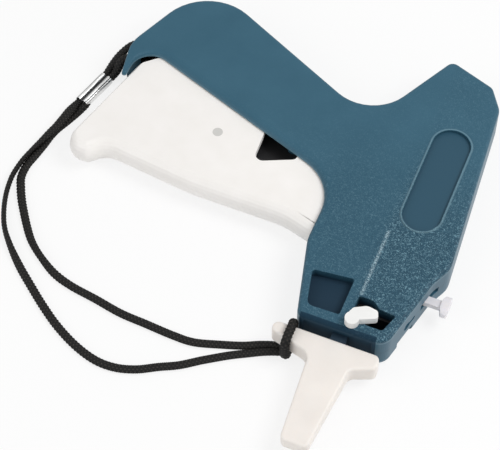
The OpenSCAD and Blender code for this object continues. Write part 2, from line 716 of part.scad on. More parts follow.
housing_upper();
housing_lower();
housing_screws();
trigger();
trigger_pivot_pin();
trigger_link_pin();
trigger_spring();
drive_lever();
drive_lever_pin();
plunger_slide();
slide_drive_pin();
push_rod();
fastener_guide();
cutter_blade();
feed_wheel();
feed_axle();
feed_pawl();
feed_release_knob();
needle_base();
needle();
needle_lock_lever();
needle_cap();
lanyard_hitch();
lanyard_ferrule();
lanyard_bight();
lanyard_cord_outer();
lanyard_cord_inner();
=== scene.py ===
# %% [markdown]
# # Garment tag attacher, lying on a white table
#
# The tool is a flat pistol of moulded plastic: two blue half shells, a white trigger, a white needle cap,
# and a braided wrist cord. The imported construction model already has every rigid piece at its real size.
# This script gives each piece its finish, and models what a construction model leaves plain.
# Everything is in metres. `MM` turns the real sizes, which are easier to read in millimetres, into metres.

# %% Load the construction model
import math

import bmesh
import bpy
from mathutils import Matrix, Vector, noise


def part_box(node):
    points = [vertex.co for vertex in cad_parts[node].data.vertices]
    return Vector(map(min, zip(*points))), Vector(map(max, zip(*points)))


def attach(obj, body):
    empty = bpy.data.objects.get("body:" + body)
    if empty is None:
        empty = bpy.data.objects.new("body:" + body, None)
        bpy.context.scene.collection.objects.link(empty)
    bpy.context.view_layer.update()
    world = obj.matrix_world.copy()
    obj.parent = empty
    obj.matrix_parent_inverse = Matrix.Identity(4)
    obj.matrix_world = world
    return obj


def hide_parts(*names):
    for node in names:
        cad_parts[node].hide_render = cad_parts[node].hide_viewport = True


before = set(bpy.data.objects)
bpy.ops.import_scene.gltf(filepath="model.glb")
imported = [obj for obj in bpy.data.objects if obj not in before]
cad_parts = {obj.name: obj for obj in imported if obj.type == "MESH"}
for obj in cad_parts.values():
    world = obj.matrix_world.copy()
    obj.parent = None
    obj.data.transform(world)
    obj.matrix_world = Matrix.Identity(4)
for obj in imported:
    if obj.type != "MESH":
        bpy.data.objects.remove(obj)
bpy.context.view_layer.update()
MM = 0.001

# %% [markdown]
# ## The camera
#
# The photograph looks down on the tool from the nose end. A camera is easiest to aim from what it looks at:
# a target point on the object, a direction given by an azimuth and an elevation, and a distance.
# The lens follows from the width that the picture spans at the target.

# %% Camera
TARGET = Vector((1.325, -12.088, 15)) * MM
AZIMUTH = math.radians(22.3)
ELEVATION = math.radians(56.5)
DISTANCE = 600 * MM
PICTURE_WIDTH = 500 / 3 * MM

ahead = Vector((-math.sin(AZIMUTH), math.cos(AZIMUTH), 0)) * math.cos(ELEVATION)
ahead.z = -math.sin(ELEVATION)
camera_data = bpy.data.cameras.new("camera")
camera_data.sensor_width = 36
camera_data.lens = 36 * DISTANCE / PICTURE_WIDTH
camera = bpy.data.objects.new("camera", camera_data)
bpy.context.scene.collection.objects.link(camera)
camera.location = TARGET - ahead * DISTANCE
camera.rotation_euler = ahead.to_track_quat("-Z", "Y").to_euler()
bpy.context.scene.camera = camera
print("camera at", [round(v, 3) for v in camera.location], "lens", round(camera_data.lens, 1))

# %% [markdown]
# ## Small helpers for materials
#
# Colours are written as the hex values that a picture shows, and Blender's shaders want linear light,
# so one function converts them. A second one adds a shader node with its settings and links.


# %% Colour and node helpers
def linear(colour):
    """The linear RGBA of an sRGB hex colour such as '#456a80'."""
    parts = [int(colour[i:i + 2], 16) / 255 for i in (1, 3, 5)]
    return [p / 12.92 if p <= 0.04045 else ((p + 0.055) / 1.055) ** 2.4 for p in parts] + [1]


def add(tree, kind, inputs=None, **settings):
    """A new node of that kind. inputs gives each socket a value, or another node's output."""
    made = tree.nodes.new("ShaderNode" + kind)
    for key, value in settings.items():
        setattr(made, key, value)
    for key, value in (inputs or {}).items():
        if isinstance(value, bpy.types.NodeSocket):
            tree.links.new(value, made.inputs[key])
        else:
            made.inputs[key].default_value = value
    return made


def new_material(name, **sockets):
    """A material with one Principled shader: the material, its node tree and the shader."""
    material = bpy.data.materials.new(name)
    material.use_nodes = True
    tree = material.node_tree
    shader = tree.nodes["Principled BSDF"]
    for key, value in sockets.items():
        shader.inputs[key.replace("_", " ")].default_value = value
    return material, tree, shader


# %% [markdown]
# Most finishes need the same few steps: a noise of a real size, a value turned into another range, a band
# that is 1 near some place and 0 away from it, and a mix of two colours. Each is one short function, so that
# a material below reads as what it does and not as a list of nodes.


# %% Pattern helpers
def spot(tree):
    """The Object coordinates of a piece: its real place, in metres."""
    return add(tree, "TexCoord").outputs["Object"]


def noise_of(tree, where, size_mm, detail=2.0, **inputs):
    """Noise whose patches are about size_mm wide."""
    return add(tree, "TexNoise", {"Vector": where, "Scale": 1 / (size_mm * MM), "Detail": detail,
                                  **inputs}).outputs["Fac"]


def to_range(tree, value, start, end, low=0.0, high=1.0):
    """low where value is start, high where it is end, and between them in between."""
    return add(tree, "MapRange", {"Value": value, "From Min": start, "From Max": end, "To Min": low,
                                  "To Max": high}).outputs[0]


def maths(tree, operation, a, b=0.0):
    return add(tree, "Math", {0: a, 1: b}, operation=operation).outputs[0]


def near(tree, value, centre, half, soft):
    """1 within half of centre, and 0 further than soft beyond that."""
    away = maths(tree, "ABSOLUTE", maths(tree, "SUBTRACT", value, centre))
    return to_range(tree, away, half, half + soft, 1.0, 0.0)


def ramp(tree, value, *stops):
    """Colours by a value: each stop is a position and a hex colour."""
    made = add(tree, "ValToRGB", {"Fac": value})
    elements = made.color_ramp.elements
    while len(elements) < len(stops):
        elements.new(0.5)
    for element, (position, colour) in zip(elements, stops):
        element.position = position
        element.color = linear(colour)
    return made.outputs["Color"]


def mix(tree, share, below, above):
    """The colour below, covered by the colour above where share is 1."""
    sides = {6: below, 7: above}
    sides = {key: linear(side) if isinstance(side, str) else side for key, side in sides.items()}
    return add(tree, "Mix", {"Factor": share, **sides}, data_type="RGBA").outputs[2]


def bump(tree, shader, height, depth_mm, strength=1.0):
    made = add(tree, "Bump", {"Height": height, "Distance": depth_mm * MM, "Strength": strength})
    tree.links.new(made.outputs["Normal"], shader.inputs["Normal"])


# %% [markdown]
# ## The wrist cord
#
# The cord is a flat tubular braid of black polyester, about 3 mm wide and 2 mm thick. Thin strands run
# round it both ways and pass over and under each other, so the eye sees columns of small slanted lozenges.
# A smooth tube would look like rubber. So a grid is wrapped round the cord's line, and each of its points is
# moved in or out by the braid's own rule: which strand is on top there, and how far that strand bulges.
#
# The route is a given list of points, the same ones that the construction model uses, in millimetres from
# the needle's axis and the nose's front face. A smooth curve joins them.

# %% The braid's sizes and its rule
CORD_W = 2.9              # the construction model's cord, a round tube
TUBE_R = CORD_W / 2
FRAME_SHIFT = Vector((43.325, -38.0884, 0))   # from the outline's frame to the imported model's
CARRIERS = 5              # strands that run round each way
LOZENGE = 1.3             # length of one lozenge along the cord, mm
AROUND = 44               # points round the cord
STEP = 0.2                # distance between rings, mm
GROOVE = 0.24             # share of the radius that the gaps between strands go down
CURVE_PIECES = 24         # pieces that each stretch of the curve is first cut into


def braid_height(turn, along):
    """How high the braid stands, 0 to 1, at a share of a turn round the cord and mm along it."""
    u = CARRIERS * turn - along / LOZENGE
    v = CARRIERS * turn + along / LOZENGE
    i, j = math.floor(u), math.floor(v)
    across, run = (u - i, v - j) if (i + j) % 2 == 0 else (v - j, u - i)
    return math.sin(math.pi * across) ** 0.7 * (0.55 + 0.45 * math.sin(math.pi * run))


def smooth_route(points):
    """Places every STEP mm along a Catmull-Rom curve, in mm, each with its place in the list of points."""
    route = [Vector(p) + FRAME_SHIFT for p in points]
    padded = [2 * route[0] - route[1]] + route + [2 * route[-1] - route[-2]]
    dense = []
    for i, (a, b, c, d) in enumerate(zip(padded, padded[1:], padded[2:], padded[3:])):
        for k in range(CURVE_PIECES):
            t = k / CURVE_PIECES
            dense.append((0.5 * (2 * b + (c - a) * t + (2 * a - 5 * b + 4 * c - d) * t * t
                                 + (3 * b - a - 3 * c + d) * t ** 3), i + t))
    dense.append((route[-1], len(route) - 1))
    out = [dense[0]]
    left = STEP
    for (p, i), (q, j) in zip(dense, dense[1:]):
        while (q - p).length >= left:
            share = left / (q - p).length
            p, i = p.lerp(q, share), i + (j - i) * share
            out.append((p, i))
            left = STEP
        left -= (q - p).length
    return out


# %% [markdown]
# A flat braid isn't the same everywhere. The ferrule and the knot squeeze it round, it lies flat on the table
# after the long bend, and in that bend it stands on its edge. So each cord has a few sections: a place in its
# list of points, its width and thickness there, how far it is rolled about its own line, and how far it has
# slid sideways from the round tube's middle, which brings two strands together where they touch.


# %% Wrap the braid round a line
def section_at(sections, place):
    """Width, thickness, roll and sideways shift at a place, eased between the sections given."""
    for (start, *a), (end, *b) in zip(sections, sections[1:]):
        if place <= end:
            t = max(0, (place - start) / (end - start))
            t = t * t * (3 - 2 * t)
            return [p + (q - p) * t for p, q in zip(a, b)]
    return sections[-1][1:]


def sides_along(line, level):
    """A sideways direction for each point of the line: level, or carried along without twisting."""
    ahead = [(q - p).normalized() for p, q in zip([line[0]] + line[:-1], line[1:] + [line[-1]])]
    side = Vector((0, 0, 1)).cross(ahead[0]).normalized()
    sides = []
    for before, direction in zip([ahead[0]] + ahead, ahead):
        if level:
            side = Vector((0, 0, 1)).cross(direction).normalized()
        else:
            side = before.rotation_difference(direction) @ side
            side = (side - direction * side.dot(direction)).normalized()
        sides.append((side, direction))
    return sides


def braided_cord(name, points, sections, level=True):
    """A braid along the points, and its centre line in metres."""
    line, shapes = [], []
    for place, i in smooth_route(points):
        wide, thick, roll, shift = section_at(sections, i)
        roll = math.radians(roll)
        half = math.hypot(wide / 2 * math.sin(roll), thick / 2 * math.cos(roll))
        line.append(Vector((place.x, place.y, place.z * half / TUBE_R)) if level else place)
        shapes.append((wide / 2, thick / 2, roll, shift))
    line = [p + side * shape[3] for p, (side, _), shape in zip(line, sides_along(line, level), shapes)]
    bm = bmesh.new()
    bmesh.ops.create_grid(bm, x_segments=len(line) - 1, y_segments=AROUND, size=0.5)
    strand = bm.verts.layers.float.new("strand")
    frames = sides_along(line, level)
    for v in bm.verts:
        ring = round((v.co.x + 0.5) * (len(line) - 1))
        turn = v.co.y + 0.5
        side, direction = frames[ring]
        wide, thick, roll, _ = shapes[ring]
        up = direction.cross(side)
        across = side * math.cos(roll) + up * math.sin(roll)
        height = braid_height(turn, ring * STEP)
        out = (across * wide * math.cos(math.tau * turn)
               + direction.cross(across) * thick * math.sin(math.tau * turn))
        v.co = (line[ring] + out * (1 - GROOVE * (1 - height))) * MM
        v[strand] = height
    bmesh.ops.remove_doubles(bm, verts=bm.verts, dist=0.001 * MM)
    bmesh.ops.holes_fill(bm, edges=bm.edges, sides=0)
    bmesh.ops.recalc_face_normals(bm, faces=bm.faces)
    for face in bm.faces:
        face.smooth = True
    mesh = bpy.data.meshes.new(name)
    bm.to_mesh(mesh)
    bm.free()
    piece = bpy.data.objects.new(name, mesh)
    bpy.context.scene.collection.objects.link(piece)
    print(name, round(STEP * (len(line) - 1)), "mm,", len(mesh.polygons), "faces")
    return piece, [p * MM for p in line]


# %% [markdown]
# The long runs leave the ferrule one over the other, cross, and come together again at the cap. Each starts
# 2 mm inside the ferrule and ends 4 mm under the cap's ear, so that no gap shows there. The bight is the
# short loop through the two holes in the handle's end wall. The hitch is the band that goes round the ear.
# Each point is x, y and height in mm. Each section is a place in the list, a width and a thickness in mm,
# a roll in degrees and a sideways shift in mm.

# %% The four stretches of the cord
outer_points = [(-121.7, 61, 2.1), (-122.3, 59, 2.1), (-123.2, 54.8, 3.8), (-123.8, 49.4, 4.7),
                (-124.8, 44.6, 4.7), (-126.4, 41, 4.4), (-128.3, 37.8, 3), (-129.6, 34.2, 1.8),
                (-130.5, 29.4, 1.5), (-130.2, 20.4, 1.5), (-128, 12, 1.5), (-123.4, 2.6, 1.5),
                (-118, -4, 1.5), (-111.4, -10.2, 1.5), (-104.4, -15.8, 1.5), (-96.8, -21.6, 1.5),
                (-89, -26.8, 1.5), (-80.2, -31.2, 1.5), (-72, -33.6, 1.5), (-65, -33.6, 1.5), (-58.4, -31.6, 1.5),
                (-52, -28, 1.5), (-46, -24.8, 1.5), (-39.4, -20, 1.5), (-33.6, -16.4, 1.5),
                (-28, -13.4, 1.5), (-23.4, -11, 1.7), (-20, -9.7, 2), (-16, -8.4, 2.2)]
inner_points = [(-118.9, 60.8, 2.1), (-119.3, 58.8, 2.1), (-120.6, 54.8, 1.7), (-122.4, 50.4, 1.5),
                (-124.3, 46, 1.5), (-125.3, 42, 1.5), (-125.5, 37.8, 1.5), (-126, 33, 1.5), (-127, 27.8, 1.5),
                (-126.8, 22.8, 1.5), (-125, 18.6, 1.5), (-122.6, 14.4, 1.5), (-119.6, 10, 1.5),
                (-115.6, 4.6, 1.5), (-111.6, 0, 1.5), (-106.4, -4.2, 1.5), (-99.4, -8.4, 1.5),
                (-91.8, -10.8, 1.5), (-82, -12.4, 1.5), (-72, -14.2, 1.5), (-62.4, -14.8, 1.5),
                (-52.6, -15.4, 1.5), (-45.2, -15.2, 1.5), (-37, -12.8, 1.5), (-29.6, -10.2, 1.5),
                (-24.6, -7.7, 1.6), (-20.2, -6, 2), (-16.4, -5.2, 2.2)]
bight_points = [(-115.8, 73.5, 2.1), (-115.1, 76.6, 2.8), (-114.8, 79.6, 4.2), (-113.4, 82.2, 5),
                (-110.8, 82.9, 5), (-107, 82.9, 5), (-104.7, 84.3, 5), (-103.5, 87.2, 5),
                (-104.2, 90.2, 5), (-105.6, 91.4, 5), (-108.6, 91.4, 5), (-111.6, 90.6, 5),
                (-114.4, 88.4, 4.7), (-116.3, 84.6, 3.9), (-117.6, 79.6, 2.9), (-118.3, 74.2, 2.1)]
hitch_points = [(-15.3, -6.6, 1.9), (-15.2, -8.6, 2.3), (-15.2, -9.7, 4), (-15.2, -9.8, 7.5),
                (-15.2, -9.3, 11), (-15.2, -6.8, 12.6), (-15.2, -4, 12.7), (-15.4, -1.6, 11.9),
                (-15.7, -0.9, 8.4), (-15.7, -0.9, 5), (-15.6, -2.4, 2.1), (-15.5, -5, 1.9)]

outer_sections = [(0, 2.3, 2.6, 0, 0), (1, 2.8, 2.6, 0, 0), (2, 3.5, 2.4, 0, 0.5), (4, 3.3, 2, 10, 0.2),
                  (6, 3, 1.9, 50, 1.3), (7.5, 3.1, 1.9, 70, 1.2), (9, 3.1, 1.9, 80, 0.5),
                  (11, 3.1, 1.9, 80, 0), (14, 3.1, 1.9, 10, 0), (23, 3.1, 1.9, 0, 0), (25, 3.1, 1.9, 0, 0.5),
                  (28, 2.8, 2.2, 0, 0.6)]
inner_sections = [(0, 2.3, 2.6, 0, 0), (1, 2.8, 2.6, 0, 0), (2, 3.5, 2, 0, -0.5), (5, 3.2, 1.9, 0, 0),
                  (7, 3.2, 1.9, 0, -0.5), (10, 3.2, 1.9, 0, 0), (13, 3.1, 1.9, 20, 0),
                  (15, 3, 1.9, 50, 0), (17, 3.1, 1.9, 0, 0), (24, 3.1, 1.9, 0, 0),
                  (27, 2.8, 2.2, 0, -0.5)]
hitch_sections = [(0, 3.4, 2.4, 0, 0), (2, 3.6, 2.8, 0, 0), (5, 3.3, 2.7, 0, 0), (11, 3.3, 2.5, 0, 0)]
bight_sections = [(0, 2.7, 2.6, 0, 0), (1.5, 3.7, 2.4, 0, 0), (4, 3.2, 2.4, 0, 0), (12, 3.2, 2.4, 0, 0),
                  (13.5, 3.7, 2.4, 0, 0), (15, 2.7, 2.6, 0, 0)]

cord_outer, outer_line = braided_cord("cord_outer", outer_points, outer_sections)
cord_inner, inner_line = braided_cord("cord_inner", inner_points, inner_sections)
cord_bight, bight_line = braided_cord("cord_bight", bight_points, bight_sections, level=False)
cord_hitch, hitch_line = braided_cord("cord_hitch", hitch_points, hitch_sections, level=False)


# %% [markdown]
# The yarn is black polyester. Black fibre is never pure black, and fine fibre streaks vary its tone. The colour
# also
# paints light: a painted highlight on the raised strands and painted shade in the gaps between them. The `strand`
# value stored on the tube says how high each point lies, so the same rule that shaped the braid also colours it.

# %% Cord material
FIBRE = 0.25              # width of one fibre's streak, mm


def braided_polyester():
    material, tree, shader = new_material("black_polyester_braid", Roughness=0.6,
                                          Specular_IOR_Level=0.25)
    height = add(tree, "Attribute", attribute_name="strand").outputs["Fac"]
    fibres = noise_of(tree, spot(tree), FIBRE, 3.0)
    # Painted highlight on the raised strands and painted shade in the gaps, with the fibres' own tone
    painted_strand_light = maths(tree, "ADD", maths(tree, "MULTIPLY", height, 0.75), maths(tree, "MULTIPLY", fibres, 0.4))
    tree.links.new(ramp(tree, painted_strand_light, (0.4, "#010101"), (0.8, "#070706"), (1.0, "#453f3a")),
                   shader.inputs["Base Color"])
    bump(tree, shader, fibres, 0.06, 0.6)
    return material


cord_material = braided_polyester()
for piece, node in ((cord_outer, "lanyard_cord_outer"), (cord_inner, "lanyard_cord_inner"),
                    (cord_bight, "lanyard_bight"), (cord_hitch, "lanyard_hitch")):
    piece.data.materials.append(cord_material)
    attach(piece, "cap" if piece is cord_hitch else "body")
    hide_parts(node)

# %% [markdown]
# ## The crimped ferrule
#
# The ferrule is a strip of soft aluminium, bent round both strands and pressed, so its two edges roll in
# against each other and leave a deep groove along the top, and the press leaves a shallower one on each side.
# Its section is a ring of points on two lobes, pushed out along the ferrule's length. Both ends are inset and
# pushed in, which gives the strip its wall. How deep each point lies is stored on the mesh as `hollow`, and the
# material reads it to paint shade and dark reflection into the grooves.

# %% Ferrule
FERRULE_TOP = Vector((-117.3, 73.2, 0)) + FRAME_SHIFT
FERRULE_LOW = Vector((-120.9, 59.6, 0)) + FRAME_SHIFT
FERRULE_L = 14
LOBE = Vector((1.28, 2.05))       # middle of one lobe
LOBE_HALF = Vector((1.3, 1.95))   # its half width and half height
STRIP = 0.35                      # thickness of the strip
PRESS_ANGLE = 62                  # where the press leaves its groove on a lobe, degrees from the side
PRESS_WIDE = 11                   # half its width, in degrees too
PRESS_DEEP = 0.12                 # share of the lobe's size
ROLL_ANGLES = (95, 150)           # where the edge starts to roll in, and where the two edges meet
LOBE_STEP = 6                     # degrees between two points of the outline
LENGTHS = 14                      # pieces along the ferrule
MOUTH = 2.5                       # how far the ends are pushed in
UNEVEN = 0.04                     # how much the pressed strip varies, a share of its size


def lobe_point(angle):
    """A point of one lobe's outline, and how deep in a groove it lies, from 0 to 1."""
    press = math.exp(-((angle - PRESS_ANGLE) / PRESS_WIDE) ** 2)
    groove = max(0, (angle - ROLL_ANGLES[0]) / (ROLL_ANGLES[1] - ROLL_ANGLES[0]))
    a = math.radians(angle)
    size = 1 - PRESS_DEEP * press
    return LOBE.x + LOBE_HALF.x * size * math.cos(a), LOBE.y + LOBE_HALF.y * size * math.sin(a), \
        max(0.7 * press, groove)


def crimped_ferrule():
    turn = 240            # from where the edges meet, round the side, to the lobe's lowest point
    right = [lobe_point(ROLL_ANGLES[1] - LOBE_STEP * k) for k in range(turn // LOBE_STEP + 1)]
    outline = right + [(-x, y, hollow) for x, y, hollow in reversed(right)]
    bm = bmesh.new()
    hollow = bm.verts.layers.float.new("hollow")
    ring = [bm.verts.new((x, 0, z)) for x, z, _ in outline]
    for v, (_, _, deep) in zip(ring, outline):
        v[hollow] = deep
    first = bm.faces.new(ring)
    face = first
    for _ in range(LENGTHS):
        out = bmesh.ops.extrude_face_region(bm, geom=[face], use_keep_orig=face is first)
        face = next(item for item in out["geom"] if isinstance(item, bmesh.types.BMFace))
        bmesh.ops.translate(bm, verts=face.verts, vec=(0, FERRULE_L / LENGTHS, 0))
    for end, inward in ((first, MOUTH), (face, -MOUTH)):
        bmesh.ops.inset_region(bm, faces=[end], thickness=STRIP)
        bmesh.ops.translate(bm, verts=end.verts, vec=(0, inward, 0))
    for v in bm.verts:
        uneven = noise.noise(Vector((v.co.x * 0.5, v.co.y * 0.2, v.co.z * 0.5)))
        v.co.x *= 1 + UNEVEN * uneven
        v.co.z = max(0.05, v.co.z * (1 + UNEVEN * uneven))
    bmesh.ops.recalc_face_normals(bm, faces=bm.faces)
    run = FERRULE_LOW - FERRULE_TOP
    bmesh.ops.transform(bm, verts=bm.verts, matrix=Matrix.Translation(FERRULE_TOP)
                        @ Matrix.Rotation(math.atan2(-run.x, run.y), 4, "Z"))
    bmesh.ops.scale(bm, verts=bm.verts, vec=(MM, MM, MM))
    for item in bm.faces:
        item.smooth = True
    mesh = bpy.data.meshes.new("crimped_ferrule")
    bm.to_mesh(mesh)
    bm.free()
    mesh.set_sharp_from_angle(angle=math.radians(50))
    piece = bpy.data.objects.new("crimped_ferrule", mesh)
    bpy.context.scene.collection.objects.link(piece)
    return piece


ferrule = crimped_ferrule()
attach(ferrule, "body")
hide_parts("lanyard_ferrule")
low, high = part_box("lanyard_ferrule")
print("ferrule:", len(ferrule.data.polygons), "faces, plain one", [round(v / MM, 1) for v in high - low])

# %% [markdown]
# ## Light and floor
#
# The picture is a cut-out on pure white with soft, even light. The world gives most of the light. It is
# brighter at the sides than overhead, as in a light tent, so upright walls look a little paler than flat
# faces. A large key lamp gives the faces their slow change of shade, and a weaker one lifts the other side.
# The floor shows almost white to the camera, and keeps the object's shadow.

# %% World
TENT_SIDES = 0.74
TENT_TOP = 0.42
scene = bpy.context.scene
scene.view_settings.view_transform = "Standard"

world = bpy.data.worlds.new("studio")
scene.world = world
world.use_nodes = True
sky = world.node_tree
rays = add(sky, "LightPath").outputs
height = add(sky, "SeparateXYZ", {0: add(sky, "TexCoord").outputs["Generated"]}).outputs["Z"]
tent = to_range(sky, height, 0.0, 0.9, TENT_SIDES, TENT_TOP)
shown = maths(sky, "MAXIMUM", rays["Is Camera Ray"], rays["Is Transmission Ray"])
shown = maths(sky, "MAXIMUM", shown, rays["Is Glossy Ray"])
strength = add(sky, "Mix", {"Factor": shown, 2: tent, 3: 1.0}, data_type="FLOAT").outputs[0]
sky.links.new(strength, sky.nodes["Background"].inputs["Strength"])
sky.nodes["Background"].inputs["Color"].default_value = (1, 1, 1, 1)


# %% Lamps and floor
def area_lamp(name, place_mm, size_mm, watts, target=(0, 0, 8)):
    lamp = bpy.data.lights.new(name, "AREA")
    lamp.shape = "DISK"
    lamp.size = size_mm * MM
    lamp.energy = watts
    made = bpy.data.objects.new(name, lamp)
    scene.collection.objects.link(made)
    made.location = Vector(place_mm) * MM
    made.rotation_euler = (Vector(target) * MM - made.location).to_track_quat("-Z", "Y").to_euler()
    return made


area_lamp("key", (420, 120, 620), 420, 2.9)
area_lamp("fill", (-380, -420, 420), 500, 0.9)

bm = bmesh.new()
bmesh.ops.create_grid(bm, x_segments=1, y_segments=1, size=3)
floor_mesh = bpy.data.meshes.new("floor")
bm.to_mesh(floor_mesh)
bm.free()
floor = bpy.data.objects.new("floor", floor_mesh)
scene.collection.objects.link(floor)
floor_paper = bpy.data.materials.new("white_paper")
floor_paper.use_nodes = True
tree = floor_paper.node_tree
tree.nodes.clear()
paper = add(tree, "BsdfDiffuse", {"Color": (0.93, 0.93, 0.93, 1)})
glow = add(tree, "Emission", {"Color": (1, 1, 1, 1), "Strength": 1.0})
seen = add(tree, "LightPath").outputs
seen = maths(tree, "MAXIMUM", seen["Is Camera Ray"], seen["Is Glossy Ray"])
FLOOR_GLOW = 0.8          # share of plain white that the camera and reflections see
share = maths(tree, "MULTIPLY", seen, FLOOR_GLOW)
surface = add(tree, "MixShader", {0: share, 1: paper.outputs[0], 2: glow.outputs[0]}).outputs[0]
tree.links.new(surface, add(tree, "OutputMaterial").inputs["Surface"])
floor_mesh.materials.append(floor_paper)


# %% [markdown]
# ## The blue shells
#
# The half shells are injection-moulded ABS. The flat faces were spark-eroded in the mould, which leaves a
# leathery grain of small commas, whose glints are painted as pale specks. The walls, the edges' rounding and the
# oval recess were left plain. So the grain needs to know where it is: it fades in where a point lies on a flat
# face, which the distance from the middle plane tells. It is strongest near the nose, right of a crease that
# starts at the second window, and a pale speckled strip runs along the crease itself. A painted highlight runs
# along the rounding where the face begins and round the oval. Inside the windows and on the panel behind the cap
# little light comes in, so painted shade darkens the colour there, and the surface is duller, or it would mirror
# the white table.

# %% Places on the shells, in mm from the needle's axis and the nose's front face
BODY_T = 15
CREASE_X = 1.7
CREASE_Y = (15, 41)
NOSE_Y = 22
HANDLE_X = -30
POCKET = ((-16.5, -2.2), (4.6, 19.4))
POCKET_LEFT = -13.4       # its left side at the bottom, from where it leans outwards
POCKET_LEAN = 0.235
WINDOW = ((1.3, 15), (4.4, 14))
PANEL = ((-14, 12), (-1, 1.3))
OVAL_X = 9.7
OVAL_Y = (51.6, 82.2)     # middles of its two round ends
OVAL_R = 6.7
FACE = (5.7, 6.3)         # from the middle plane: the rounding ends, and the flat face has begun
SUNK_Z = (14.8, 14.6)     # heights between which the oval's floor begins
SHADE_Z = (14.7, 11.8)    # heights between which a window's wall turns dark
CLOUD = 16                # widths of the patches of each pattern
COMMA = 0.72
LEATHER = 0.35
CREASE_SPECK = 0.5


def shifted(tree, value, mm, axis=0):
    """A coordinate in metres, counted from a place that is given in mm in the outline's frame."""
    return maths(tree, "SUBTRACT", value, (mm + FRAME_SHIFT[axis]) * MM)


def in_box(tree, x, y, sides, soft=0.3):
    """1 inside an upright box, given as its ranges of x and y in mm, and 0 outside."""
    (x0, x1), (y0, y1) = sides
    along = near(tree, shifted(tree, x, (x0 + x1) / 2), 0.0, (x1 - x0) / 2 * MM, soft * MM)
    across = near(tree, shifted(tree, y, (y0 + y1) / 2, 1), 0.0, (y1 - y0) / 2 * MM, soft * MM)
    return maths(tree, "MULTIPLY", along, across)


def from_oval(tree, x, y):
    """Distance from the line between the middles of the oval's two ends."""
    along = maths(tree, "ABSOLUTE", shifted(tree, y, sum(OVAL_Y) / 2, 1))
    past = maths(tree, "MAXIMUM", maths(tree, "SUBTRACT", along, (OVAL_Y[1] - OVAL_Y[0]) / 2 * MM), 0.0)
    away = add(tree, "CombineXYZ", {0: shifted(tree, x, OVAL_X), 1: past}).outputs[0]
    return add(tree, "VectorMath", {0: away}, operation="LENGTH").outputs["Value"]


